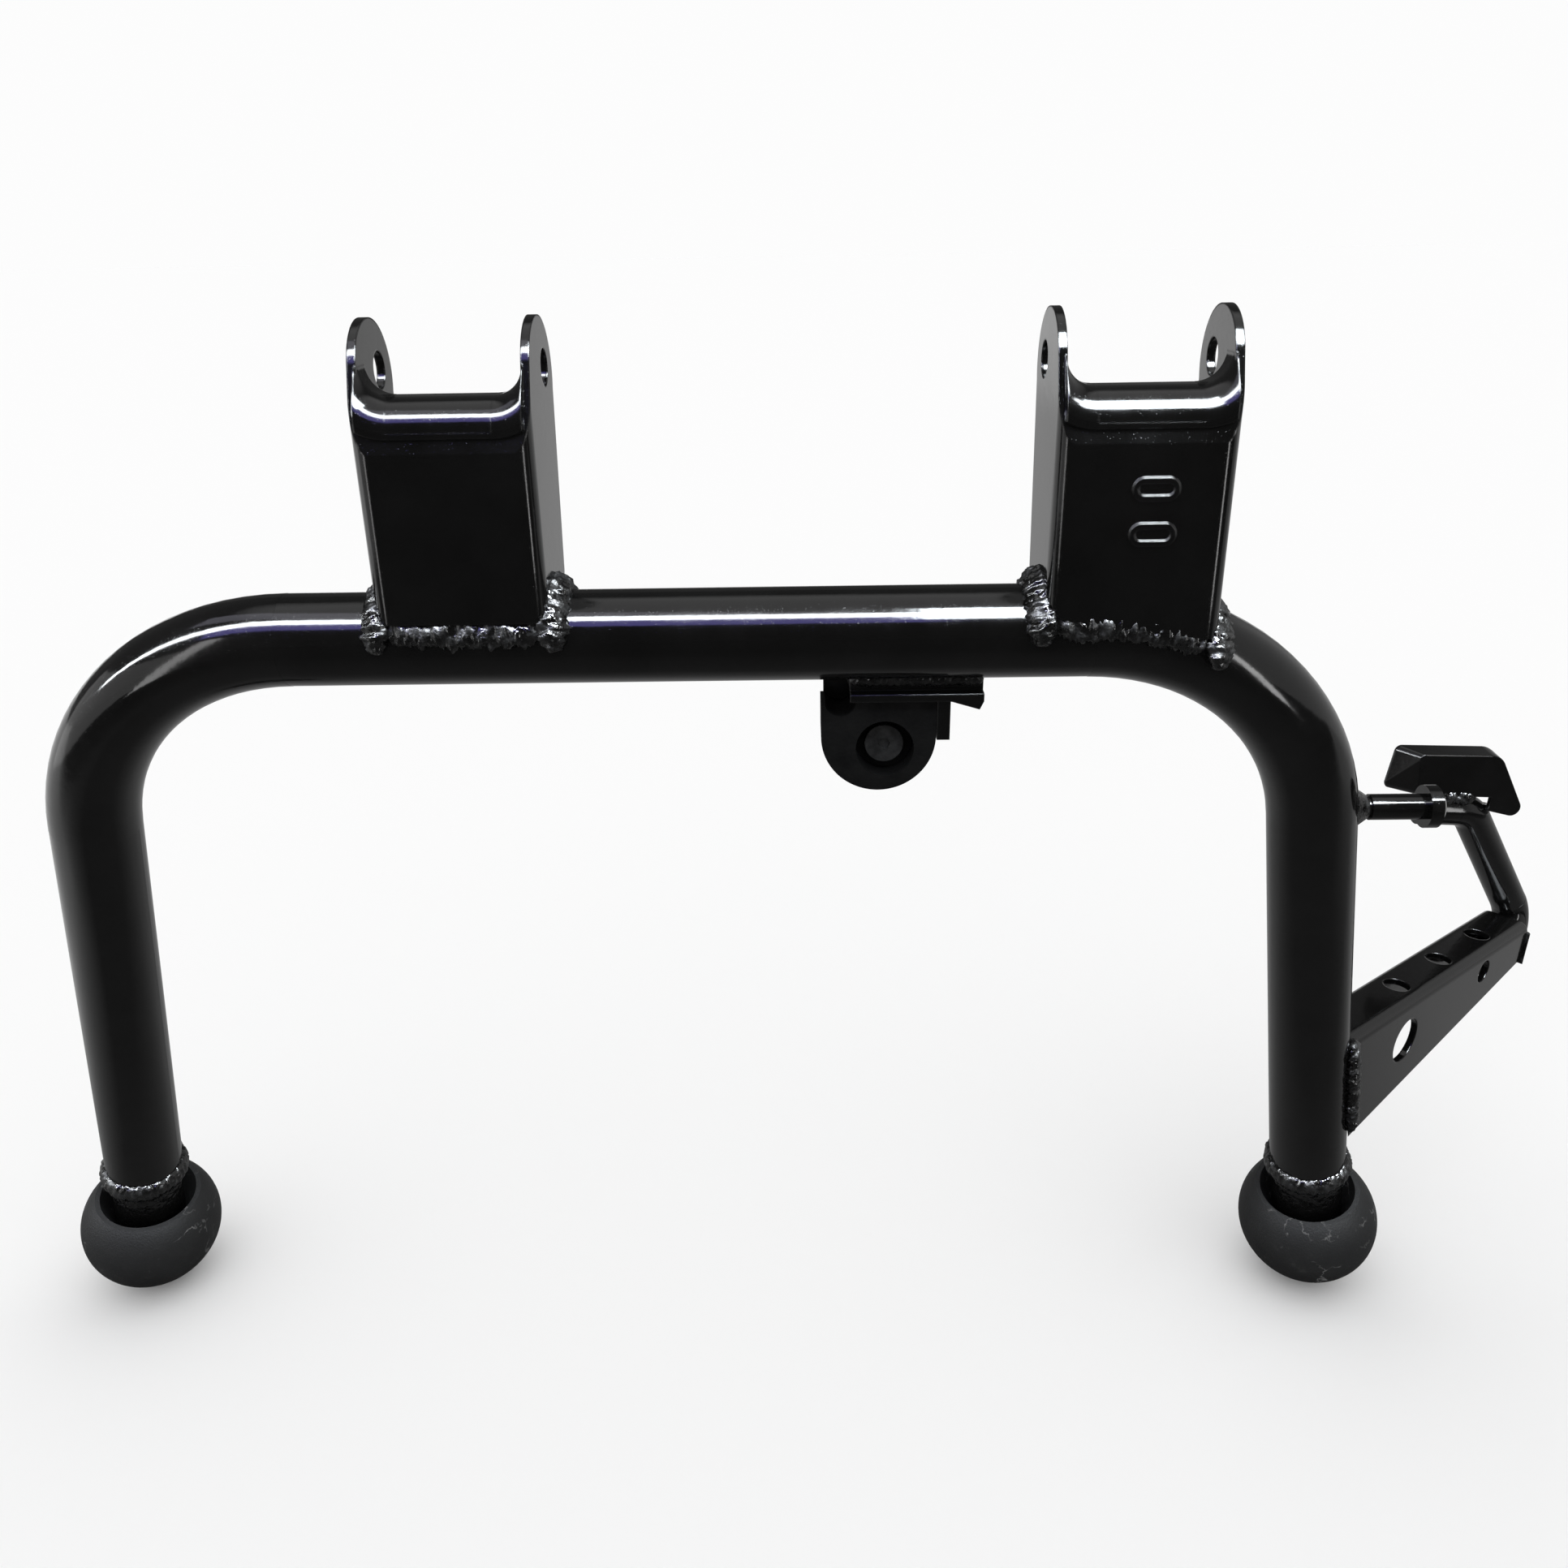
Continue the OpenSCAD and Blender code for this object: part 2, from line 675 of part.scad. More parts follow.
// Cut through the front flange of the arm, at a depth below its top edge
module side_hole(at, d, depth) {
    translate([at, 0, -depth]) rotate([90, 0, 0]) cylinder(d = d, h = arm_w);
}

// Two beads up the leg, one on each flange of the arm
module lever_arm_weld() {
    bead_l = arm_h_in - 2 * bead;
    color("#2a2a2c") difference() {
        leg_frame(1, arm_s) rotate([0, 0, arm_yaw]) for (side = [-1, 1])
            translate([flange_x(side), side * arm_w / 2 - arm_shift, -bead - bead_l])
                cylinder(r = bead, h = bead_l);
        u_bar(tube_r);
        arm_frame() translate([0, -arm_w / 2, -2 * arm_h_in]) cube([arm_l, arm_w, 3 * arm_h_in]);
    }
}

// Distance from the leg's middle at which the arm's outer flange face meets the tube
function flange_x(side) = sqrt(max(tube_r * tube_r - pow(side * arm_w / 2 - arm_shift, 2), 0));

// Corner points of the rod in the arm's frame
function rod_knee() = [arm_l + elbow_out - rod_lean, rod_back, rod_low + rod_rise];
function rod_corners() = [
    [arm_l - rod_in, 0, rod_low],
    [arm_l + elbow_out, 0, rod_low],
    rod_knee(),
    rod_knee() + grip_l * [cos(grip_yaw), sin(grip_yaw), 0]
];

// Puts children at point o with +Z along z and +X along x
module place(o, x, z) {
    y = cross(z, x);
    multmatrix([[x[0], y[0], z[0], o[0]], [x[1], y[1], z[1], o[1]], [x[2], y[2], z[2], o[2]],
        [0, 0, 0, 1]]) children();
}

// Outward side of a bend that turns from direction u to direction v
function outward(u, v) = unit(cross(u, unit(cross(u, v))));
// Distance from a corner to the ends of its bend
function setback(u, v, bend) = bend * tan(acos(u * v) / 2);

// Round bend at a corner between directions u and v
module elbow(corner, u, v, bend, r) {
    x = outward(u, v);
    place(corner - u * setback(u, v, bend) - x * bend, x, unit(cross(u, v)))
        rotate_extrude(angle = acos(u * v)) translate([bend, 0]) circle(r + swell);
}

module rod_shape(r) {
    p = rod_corners();
    u = unit(p[1] - p[0]);
    v = unit(p[2] - p[1]);
    w = unit(p[3] - p[2]);
    low = setback(u, v, elbow_r);
    high = setback(v, w, knee_r);
    place(p[0], outward(u, v), u) cylinder(r = r, h = norm(p[1] - p[0]) - low + lap);
    elbow(p[1], u, v, elbow_r, r);
    place(p[1] + v * (low - lap), outward(v, w), v)
        cylinder(r = r, h = norm(p[2] - p[1]) - low - high + 2 * lap);
    elbow(p[2], v, w, knee_r, r);
    place(p[2] + w * (high - lap), outward(w, v), w) cylinder(r = r, h = norm(p[3] - p[2]) - high + lap);
}

module pedal_rod() {
    color("#1c1c1e") arm_frame() rod_shape(rod_r);
}

// Half ring round the rod where it leaves the arm
module rod_weld() {
    color("#2a2a2c") arm_frame() difference() {
        for (side = [-1, 1]) translate([arm_l, side * (arm_w / 2 - arm_t / 2), rod_low - rod_r])
            cylinder(r = arm_t, h = rod_d);
        rod_shape(rod_r);
        translate([0, -arm_w, -2 * arm_h_in]) cube([arm_l, 2 * arm_w, 3 * arm_h_in]);
    }
}

// Puts children on the rod's upper corner: +X along the grip, +Y to the front
module grip_frame() {
    arm_frame() translate(rod_knee()) rotate([0, 0, grip_yaw]) children();
}

// Outline of the pad in the grip's X and Z, shrunk by inset and flared on its inner side
module pad_outline(inset, flare) {
    right = pad_l - pad_corner + flare;
    low = pad_corner * 3.5;
    hull() {
        translate([right, pad_top - pad_corner]) circle(pad_corner - inset, $fn = pad_facets);
        translate([right - (pad_corner - flare) / 2, low]) circle(pad_corner - inset, $fn = pad_facets);
        translate([-cut, pad_top - pad_crown_r + lap]) circle(pad_crown_r - inset, $fn = pad_facets);
        translate([pad_foot_r - pad_out, pad_foot_r - lap]) circle(pad_foot_r - inset, $fn = pad_facets);
        translate([0, low]) circle(pad_corner - inset, $fn = pad_facets);
    }
}

// One slice of the pad whose front face lies at y
module pad_layer(y, inset, flare) {
    translate([0, y, 0]) rotate([90, 0, 0]) linear_extrude(pad_slice) pad_outline(inset, flare);
}

// Dished pad: a face with a turned edge, flared on the inner side, open behind and below
module pedal_pad() {
    color("#1c1c1e") difference() {
        grip_frame() difference() {
            hull() {
                pad_layer(pad_front, pad_slope, 0);
                pad_layer(pad_front - pad_edge + pad_slice, 0, pad_flare);
            }
            hull() {
                pad_layer(pad_front - pad_t, pad_lip + pad_slope, 0);
                pad_layer(pad_front - pad_edge, pad_lip, pad_flare);
            }
            translate([-rod_r / 2 - cut, pad_front - 2 * pad_edge, -pad_top])
                cube([3 * pad_l, 3 * pad_edge, pad_top + rod_r + cut]);
        }
        arm_frame() rod_shape(rod_r + seat_gap);
    }
}

// Bead along the pad's lower edge on the rod
module pad_weld() {
    color("#2a2a2c") grip_frame() difference() {
        translate([cut, pad_front - pad_t, rod_r]) rotate([0, 90, 0])
            cylinder(r = bead, h = grip_l - 2 * cut);
        rotate([0, 90, 0]) translate([0, 0, -rod_r]) cylinder(r = rod_r, h = grip_l + 2 * rod_r);
        translate([-pad_l, -pad_edge, rod_r + cut]) cube([3 * pad_l, 3 * pad_edge, pad_top]);
    }
}

// Puts children on the leg's middle where the pin leaves it, with +Z along the pivot axis
module pin_frame() {
    leg_frame(1, -pin_up) rotate([0, 90 + leg_splay, 0]) children();
}

// The leg near the pin, as a plain bar
module leg_bar() {
    leg_frame(1, 2 * tube_r) cylinder(r = tube_r + swell, h = 4 * tube_r);
}

// Turned pin with a grooved root and a rounded head
module spring_pin() {
    start = tube_r / cos(leg_splay);
    color("#1c1c1e") difference() {
        pin_frame() {
            cylinder(d = pin_root_d, h = start + pin_root_l + cut);
            translate([0, 0, start + pin_root_l])
                cylinder(d = pin_d, h = pin_l - pin_head_h - pin_root_l + cut);
            translate([0, 0, start + pin_l - pin_head_h])
                cylinder(d = pin_head_d, h = pin_head_h - pin_edge);
            translate([0, 0, start + pin_l - pin_edge])
                cylinder(d1 = pin_head_d, d2 = pin_head_d - 3 * pin_edge, h = pin_edge);
        }
        leg_bar();
    }
}

// Fillet round the root of the pin
module spring_pin_weld() {
    start = tube_r / cos(leg_splay);
    color("#2a2a2c") difference() {
        pin_frame() translate([0, 0, start - pin_fillet])
            cylinder(d1 = pin_root_d + 3 * pin_fillet, d2 = pin_root_d + cut, h = 2 * pin_fillet);
        leg_bar();
        pin_frame() cylinder(d = pin_root_d, h = 2 * start);
    }
}

main_tube();
left_pivot_bracket();
right_pivot_bracket();
left_bracket_web_weld();
right_bracket_web_weld();
left_bracket_outer_weld();
left_bracket_inner_weld();
right_bracket_inner_weld();
right_bracket_outer_weld();
left_foot_neck();
right_foot_neck();
left_foot_weld();
right_foot_weld();
left_ball_foot();
right_ball_foot();
stop_bracket();
stop_bracket_weld();
stop_buffer();
buffer_screw();
buffer_nut();
lever_arm();
lever_arm_weld();
pedal_rod();
rod_weld();
pedal_pad();
pad_weld();
spring_pin();
spring_pin_weld();
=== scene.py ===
"""Looks of a motorcycle centre stand: gloss black paint, rippled welds, rubber feet and buffer."""

import math

import bpy
from mathutils import Matrix, Vector, noise

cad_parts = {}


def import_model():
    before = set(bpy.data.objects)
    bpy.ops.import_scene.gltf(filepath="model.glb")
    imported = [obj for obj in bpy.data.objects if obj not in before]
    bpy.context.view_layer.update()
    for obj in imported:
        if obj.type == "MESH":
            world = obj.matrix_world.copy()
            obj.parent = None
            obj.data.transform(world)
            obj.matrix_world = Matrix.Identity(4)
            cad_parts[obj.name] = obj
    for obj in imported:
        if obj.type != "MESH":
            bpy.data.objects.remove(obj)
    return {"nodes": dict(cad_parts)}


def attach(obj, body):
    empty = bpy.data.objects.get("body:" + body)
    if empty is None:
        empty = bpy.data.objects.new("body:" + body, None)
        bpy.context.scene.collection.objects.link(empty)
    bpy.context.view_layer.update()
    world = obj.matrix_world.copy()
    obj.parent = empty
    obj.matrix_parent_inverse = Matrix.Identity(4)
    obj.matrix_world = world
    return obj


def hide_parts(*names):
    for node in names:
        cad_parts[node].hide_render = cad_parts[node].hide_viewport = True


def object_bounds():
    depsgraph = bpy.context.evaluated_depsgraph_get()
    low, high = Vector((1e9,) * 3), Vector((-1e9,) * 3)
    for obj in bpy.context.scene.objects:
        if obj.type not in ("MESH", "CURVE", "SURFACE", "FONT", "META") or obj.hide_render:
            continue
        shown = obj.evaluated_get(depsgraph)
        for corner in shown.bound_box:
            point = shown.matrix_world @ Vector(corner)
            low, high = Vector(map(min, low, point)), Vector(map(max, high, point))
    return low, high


MM = 0.001

# Camera: place in the row frame, angles in degrees, and the lens that gives the photograph's frame
CAMERA_AT = Vector((2.5, -388.7, 32.1)) * MM
CAMERA_PITCH = 22.68
CAMERA_YAW = -1.09
CAMERA_ROLL = -1.04
LENS = 29.81
SENSOR = 36.0

# Tube, legs and brackets, in millimetres and degrees, as the solids have them
TUBE_R = 14.0
TUBE_Y = -11.7
TUBE_Z = -76.5
BEND_R = 81.0
RUN = {-1: 153.0, 1: 87.0}
SPLAY = 10.7
RAKE = 10.0
LEG = 165.0
WEB_Y = -28.5
WEB_EDGE = TUBE_Z + 8.5
BRACKET_IN = 71.5
BRACKET_OUT = 121.5
STOP_LEFT = 15.9
STOP_BEAD = 40.6
STOP_SHEET = 2.5
ARM_DOWN = 100.0
ARM_YAW = 41.7
ARM_DROOP = 18.0
ARM_SHIFT = 2.8
ARM_W = 20.0
ARM_H = 52.0
KNEE = Vector((141.5, 18.0, 50.25))
GRIP_YAW = 140.0
GRIP_L = 22.0
ROD_R = 7.25

# Mesh of a bead: length of one ring, points round it, and the size at an open end
STEP = 0.4
ROUND = 22
END_SIZE = 0.25

# Ripples of a bead: spacing, how far each bows along it, their steepness and their mean height
PITCH = 2.1
BOW = 0.55
STEEP = 1.6
MEAN = 0.54

# Lumps of a bead: waves per millimetre of the large and the fine ones, and the share of the fine
LUMP_WAVES = 0.42
FINE_WAVES = 1.3
FINE_SHARE = 0.5

# Steps of the path of a straight bead, of the pad's, of one over the tube and of a closed ring
STRAIGHT = 40
GRIP_STEPS = 30
ARC = 60
CIRCLE = 90

# Beads under the webs: gap at either end, way back from the web's face and down from its edge
WEB_BEAD = {"wide": 5.4, "high": 3.2, "lumpy": 0.36, "coin": 0.07}
WEB_GAP = 2.0
WEB_BACK = 3.4
WEB_DROP = 2.2

# Beads round the flanges: gap beside the flange, lift off the tube, and angles from the front up
FLANGE_BEAD = {"wide": 5.0, "high": 3.2, "lumpy": 0.36}
FLANGE_GAP = 1.2
FLANGE_LIFT = 0.6
FLANGE_FROM = -2.0
FLANGE_TO = 152.0

# Ring beads at the feet: radius, and drop below the leg's end
FOOT_BEAD = {"wide": 4.3, "high": 3.3, "lumpy": 0.14, "closed": True}
RING_R = 12.7
RING_DROP = 3.9

# Beads of the stop: gap beside its sheet, and drop below the tube
STOP_WELD = {"wide": 2.5, "high": 2.3}
STOP_GAP = 0.4
STOP_DROP = 0.6

# Beads of the lever arm: gap off the tube, lift off the arm's face, way down to the first point,
# and how much of the arm's height stays free
ARM_BEAD = {"wide": 5.0, "high": 2.6, "lumpy": 0.3, "coin": 0.26}
ARM_GAP = 1.6
ARM_LIFT = 0.4
ARM_TOP = 3.0
ARM_FREE = 7.0

# Bead of the pad: gap at either end of the grip, way to the pad's side, and lift off the rod
PAD_BEAD = {"wide": 3.2, "high": 2.9, "lumpy": 0.32}
PAD_GAP = 1.0
PAD_SIDE = 5.1
PAD_LIFT = 0.3

# Half width of the floor in metres, its brightness, and that of the dome that lights it
FLOOR_HALF = 40.0
FLOOR_PALE = 0.93
DOME = 1.05

# What the gloss sees: axis, span along it, and stops of (share of the span, brightness).
# The floor that the gloss sees is painted shade and light: dark in front and paler behind and
# beside the legs. The surround is dark but for its ceiling and its right.
FLOOR_SHADE_DEPTH = ("Y", (-0.5, 1.0), [(0.0, 0.03), (0.30, 0.09), (0.42, 0.32), (1.0, 0.5)])
FLOOR_LIGHT_ACROSS = ("X", (-1.0, 1.0), [(0.0, 0.8), (0.22, 0.7), (0.36, 0.05), (0.64, 0.05), (1.0, 0.35)])
FLOOR_LIGHT_NEAR = ("Y", (-0.35, -0.15), [(0.0, 0.0), (1.0, 1.0)])
SKY_DEPTH = ("Y", (-1.0, 1.0), [(0.0, 0.035), (0.45, 0.12), (1.0, 0.07)])
SKY_HEIGHT = ("Z", (-1.0, 1.0), [(0.0, 0.0), (0.90, 0.0), (0.955, 0.85), (1.0, 0.85)])
SKY_RIGHT = ("X", (-1.0, 1.0), [(0.0, 0.0), (0.70, 0.0), (0.86, 0.5), (1.0, 0.5)])

# Soft boxes above and in front of the cross run: elevation from it in degrees, distance, x,
# the x that it aims at, size, radiance and colour
TOP_BOXES = [
    ("strip", 58.0, 0.9, -1.6, -1.6, (4.8, 0.17), 36.0, (0.93, 0.97, 1.0)),
    ("violet", 47.0, 1.0, -0.45, -0.45, (1.2, 0.28), 3.6, (0.34, 0.30, 1.0)),
    ("haze", 66.0, 1.0, -0.2, 0.0, (1.9, 0.26), 1.3, (0.85, 0.85, 1.0)),
    ("window", 60.0, 0.95, 0.37, 0.37, (0.5, 0.46), 55.0, (0.88, 0.95, 1.0)),
]

# A soft box on the left for the bend, and a slit on either side: place, aim, size and radiance
SIDE_BOXES = [
    ("left", (-1.5, -0.35, -0.15), (-0.25, 0.0, -0.2), (1.6, 1.0), 0.6),
    ("slit", (-0.62, -0.52, 0.0), (-0.1, 0.0, 0.0), (0.08, 0.5), 4.0),
    ("slit", (0.62, -0.52, 0.0), (0.1, 0.0, 0.0), (0.08, 0.5), 7.0),
]

# CAD nodes by the material that they get; every other node is a weld
SHEETS = ["left_pivot_bracket", "right_pivot_bracket", "stop_bracket", "lever_arm", "pedal_pad"]
TUBES = ["main_tube", "pedal_rod", "spring_pin"]
NECKS = ["left_foot_neck", "right_foot_neck"]
BALLS = ["left_ball_foot", "right_ball_foot"]
BUFFERS = ["stop_buffer"]
SCREWS = ["buffer_screw", "buffer_nut"]


class Nodes:
    """A small helper that adds shader nodes to one material and links them."""

    def __init__(self, name):
        self.material = bpy.data.materials.new(name)
        self.material.use_nodes = True
        self.tree = self.material.node_tree
        self.tree.nodes.clear()
        self.shader = self.add("ShaderNodeBsdfPrincipled")
        out = self.add("ShaderNodeOutputMaterial")
        self.link(self.shader, "BSDF", out, "Surface")
        self.place = self.add("ShaderNodeTexCoord")

    def add(self, kind, **values):
        """A node with its settings, or its sockets' values where it has no such setting."""
        node = self.tree.nodes.new(kind)
        for key, value in values.items():
            if hasattr(node, key):
                setattr(node, key, value)
            else:
                node.inputs[key.replace("_", " ")].default_value = value
        return node

    def link(self, a, out, b, into):
        self.tree.links.new(a.outputs[out], b.inputs[into])

    def noise(self, scale, detail=3.0, rough=0.5):
        node = self.add("ShaderNodeTexNoise", Scale=scale, Detail=detail, Roughness=rough)
        self.link(self.place, "Object", node, "Vector")
        return node

    def ramp(self, source, out, stops):
        node = self.add("ShaderNodeValToRGB")
        self.link(source, out, node, "Fac")
        fill(node.color_ramp.elements, stops)
        return node

    def bump(self, source, out, strength, distance, under=None):
        node = self.add("ShaderNodeBump", Strength=strength, Distance=distance)
        self.link(source, out, node, "Height")
        if under is not None:
            self.link(under, "Normal", node, "Normal")
        return node

    def set(self, **values):
        """Values of the shader's own sockets."""
        for key, value in values.items():
            self.shader.inputs[key.replace("_", " ")].default_value = value


def fill(elements, stops):
    """Stops of a colour ramp, each a place with a grey or a colour."""
    while len(elements) < len(stops):
        elements.new(0.5)
    for element, (at, value) in zip(elements, stops):
        colour = (value, value, value) if isinstance(value, float) else value
        element.position = at
        element.color = (*colour, 1.0)


def paint(name, tone=0.0032, rough=(0.06, 0.14), peel=0.035, edge=0.0, swell=0.0006):
    """Gloss black stove paint: orange peel, faint cloudiness, dust specks and rounded sheet edges."""
    n = Nodes(name)
    cloud = n.noise(48.0, 4.0, 0.6)
    tint = n.ramp(cloud, "Fac", [(0.3, tone), (0.75, 1.5 * tone)])
    n.link(tint, "Color", n.shader, "Base Color")
    gloss = n.ramp(cloud, "Fac", [(0.3, rough[0]), (0.7, rough[1])])
    n.link(gloss, "Color", n.shader, "Roughness")
    skin = n.bump(n.noise(330.0, 2.0, 0.5), "Fac", peel, swell)
    if edge > 0.0:
        rounded = n.add("ShaderNodeBevel", samples=6, Radius=edge)
        n.link(rounded, "Normal", skin, "Normal")
    specks = n.ramp(n.noise(2300.0, 1.0, 0.4), "Fac", [(0.72, 0.0), (0.78, 1.0)])
    dusty = n.bump(specks, "Color", 0.2, 0.0001, skin)
    n.link(dusty, "Normal", n.shader, "Normal")
    n.set(IOR=1.5)
    return n.material


def weld_paint():
    """The same paint over weld metal: glossy and dull patches on a lumpy skin."""
    n = Nodes("weld_paint")
    tint = n.ramp(n.noise(240.0, 4.0, 0.6), "Fac", [(0.35, 0.0025), (0.7, 0.006)])
    n.link(tint, "Color", n.shader, "Base Color")
    patches = n.ramp(n.noise(210.0, 3.0, 0.6), "Fac", [(0.42, 0.45), (0.60, 0.08)])
    n.link(patches, "Color", n.shader, "Roughness")
    n.set(IOR=1.6)
    lumps = n.bump(n.noise(380.0, 2.0, 0.55), "Fac", 0.6, 0.0011)
    spatter = n.bump(n.noise(1100.0, 1.0, 0.5), "Fac", 0.22, 0.0004, lumps)
    n.link(spatter, "Normal", n.shader, "Normal")
    return n.material


def foot_rubber():
    """Matte dark grey moulded rubber with pale patches, thin bent scuffs and a fine grain."""
    n = Nodes("foot_rubber")
    cloud = n.noise(60.0, 6.0, 0.65)
    patches = n.ramp(cloud, "Fac", [(0.35, 0.006), (0.62, 0.010), (0.76, (0.035, 0.035, 0.034))])
    cracks = n.add("ShaderNodeTexVoronoi", feature="DISTANCE_TO_EDGE", Scale=55.0)
    bent = n.add("ShaderNodeMix", data_type="VECTOR")
    bent.inputs[0].default_value = 0.02
    n.tree.links.new(n.place.outputs["Object"], bent.inputs[4])
    n.tree.links.new(n.noise(60.0, 4.0, 0.7).outputs["Color"], bent.inputs[5])
    n.tree.links.new(bent.outputs[1], cracks.inputs["Vector"])
    lines = n.ramp(cracks, "Distance", [(0.0, 0.13), (0.025, 0.0)])
    where = n.ramp(n.noise(70.0, 3.0, 0.6), "Fac", [(0.50, 0.0), (0.62, 1.0)])
    scuffs = blend(n.tree, "MULTIPLY", lines.outputs["Color"], where.outputs["Color"])
    both = blend(n.tree, "LIGHTEN", patches.outputs["Color"], scuffs)
    n.tree.links.new(both, n.shader.inputs["Base Color"])
    n.set(Roughness=0.6, Specular_IOR_Level=0.25)
    grain = n.bump(n.noise(1400.0, 4.0, 0.6), "Fac", 0.4, 0.0004)
    n.link(grain, "Normal", n.shader, "Normal")
    return n.material


def buffer_rubber():
    """Black rubber of the stop buffer, a little greasy."""
    n = Nodes("buffer_rubber")
    cloud = n.noise(90.0, 4.0, 0.6)
    tint = n.ramp(cloud, "Fac", [(0.35, 0.002), (0.75, 0.006)])
    n.link(tint, "Color", n.shader, "Base Color")
    n.set(Roughness=0.45, Specular_IOR_Level=0.1)
    grain = n.bump(n.noise(900.0, 4.0, 0.6), "Fac", 0.35, 0.0004)
    n.link(grain, "Normal", n.shader, "Normal")
    return n.material


def screw_steel():
    """Blackened steel of the buffer's screw and nut."""
    n = Nodes("screw_steel")
    cloud = n.noise(300.0, 4.0, 0.6)
    tint = n.ramp(cloud, "Fac", [(0.3, 0.02), (0.75, 0.06)])
    n.link(tint, "Color", n.shader, "Base Color")
    n.set(Metallic=0.7, Roughness=0.42)
    return n.material


def dress(obj, material):
    obj.data.materials.clear()
    obj.data.materials.append(material)


def camera():
    """The photograph's camera, from its place, pitch, yaw and roll."""
    pitch, yaw, roll = (math.radians(a) for a in (CAMERA_PITCH, CAMERA_YAW, CAMERA_ROLL))
    look = Vector(
        (math.sin(yaw) * math.cos(pitch), math.cos(yaw) * math.cos(pitch), -math.sin(pitch))
    )
    right = Vector((math.cos(yaw), -math.sin(yaw), 0.0))
    up = right.cross(look)
    right, up = (
        math.cos(roll) * right + math.sin(roll) * up,
        math.cos(roll) * up - math.sin(roll) * right,
    )
    data = bpy.data.cameras.new("camera")
    data.lens = LENS
    data.sensor_width = SENSOR
    obj = bpy.data.objects.new("camera", data)
    axes = Matrix((right, up, -look)).transposed()
    obj.matrix_world = Matrix.Translation(CAMERA_AT) @ axes.to_4x4()
    bpy.context.collection.objects.link(obj)
    bpy.context.scene.camera = obj


def area_light(name, at, aim, size, radiance, colour=(1.0, 1.0, 1.0)):
    """A soft box of one brightness that only the gloss sees."""
    data = bpy.data.lights.new(name, "AREA")
    data.shape = "RECTANGLE"
    data.size, data.size_y = size
    data.energy = radiance * math.pi * size[0] * size[1]
    data.color = colour
    obj = bpy.data.objects.new(name, data)
    obj.location = at
    obj.rotation_mode = "QUATERNION"
    obj.rotation_quaternion = (Vector(aim) - Vector(at)).to_track_quat("-Z", "Y")
    obj.visible_camera = False
    obj.visible_diffuse = False
    bpy.context.collection.objects.link(obj)


def above(elevation, distance, x):
    """A point in front of the cross run, at an elevation seen from it."""
    a = math.radians(elevation)
    return Vector((x, TUBE_Y * MM - distance * math.cos(a), TUBE_Z * MM + distance * math.sin(a)))


def axis_ramp(tree, axis, span, stops):
    """Brightness that depends on one coordinate of the surround or the floor."""
    place = tree.nodes.new("ShaderNodeTexCoord")
    split = tree.nodes.new("ShaderNodeSeparateXYZ")
    tree.links.new(place.outputs["Object"], split.inputs["Vector"])
    share = tree.nodes.new("ShaderNodeMapRange")
    share.inputs["From Min"].default_value, share.inputs["From Max"].default_value = span
    tree.links.new(split.outputs[axis], share.inputs["Value"])
    ramp = tree.nodes.new("ShaderNodeValToRGB")
    tree.links.new(share.outputs["Result"], ramp.inputs["Fac"])
    fill(ramp.color_ramp.elements, stops)
    return ramp.outputs["Color"]


def blend(tree, kind, first, second):
    """Two colours mixed: LIGHTEN takes the lighter of them, MULTIPLY their product."""
    mix = tree.nodes.new("ShaderNodeMix")
    mix.data_type = "RGBA"
    mix.blend_type = kind
    mix.inputs[0].default_value = 1.0
    tree.links.new(first, mix.inputs[6])
    tree.links.new(second, mix.inputs[7])
    return mix.outputs[2]


def by_ray(tree, ray, others, these):
    """One shader for the rays of a kind, and another for the rest."""
    path = tree.nodes.new("ShaderNodeLightPath")
    mix = tree.nodes.new("ShaderNodeMixShader")
    tree.links.new(path.outputs[ray], mix.inputs["Fac"])
    tree.links.new(others, mix.inputs[1])
    tree.links.new(these, mix.inputs[2])
    return mix.outputs["Shader"]


def floor(low):
    """Pale floor under the feet; the gloss sees it with painted shade in front and painted light
    behind and beside the legs.
    """
    mesh = bpy.data.meshes.new("floor")
    half = FLOOR_HALF
    corners = [(-half, -half, low), (half, -half, low), (half, half, low), (-half, half, low)]
    mesh.from_pydata(corners, [], [(0, 1, 2, 3)])
    obj = bpy.data.objects.new("floor", mesh)
    bpy.context.collection.objects.link(obj)
    material = bpy.data.materials.new("floor")
    material.use_nodes = True
    tree = material.node_tree
    tree.nodes.clear()
    pale = tree.nodes.new("ShaderNodeBsdfDiffuse")
    pale.inputs["Color"].default_value = (FLOOR_PALE, FLOOR_PALE, FLOOR_PALE, 1.0)
    # Only glossy rays see this graded copy, painted shade in front and painted light behind and
    # beside the legs; all other rays see the even pale floor.
    shade = tree.nodes.new("ShaderNodeBsdfDiffuse")
    depth = axis_ramp(tree, *FLOOR_SHADE_DEPTH)
    beside = blend(tree, "MULTIPLY", axis_ramp(tree, *FLOOR_LIGHT_ACROSS), axis_ramp(tree, *FLOOR_LIGHT_NEAR))
    tree.links.new(blend(tree, "LIGHTEN", depth, beside), shade.inputs["Color"])
    out = tree.nodes.new("ShaderNodeOutputMaterial")
    seen = by_ray(tree, "Is Glossy Ray", pale.outputs["BSDF"], shade.outputs["BSDF"])
    tree.links.new(seen, out.inputs["Surface"])
    dress(obj, material)


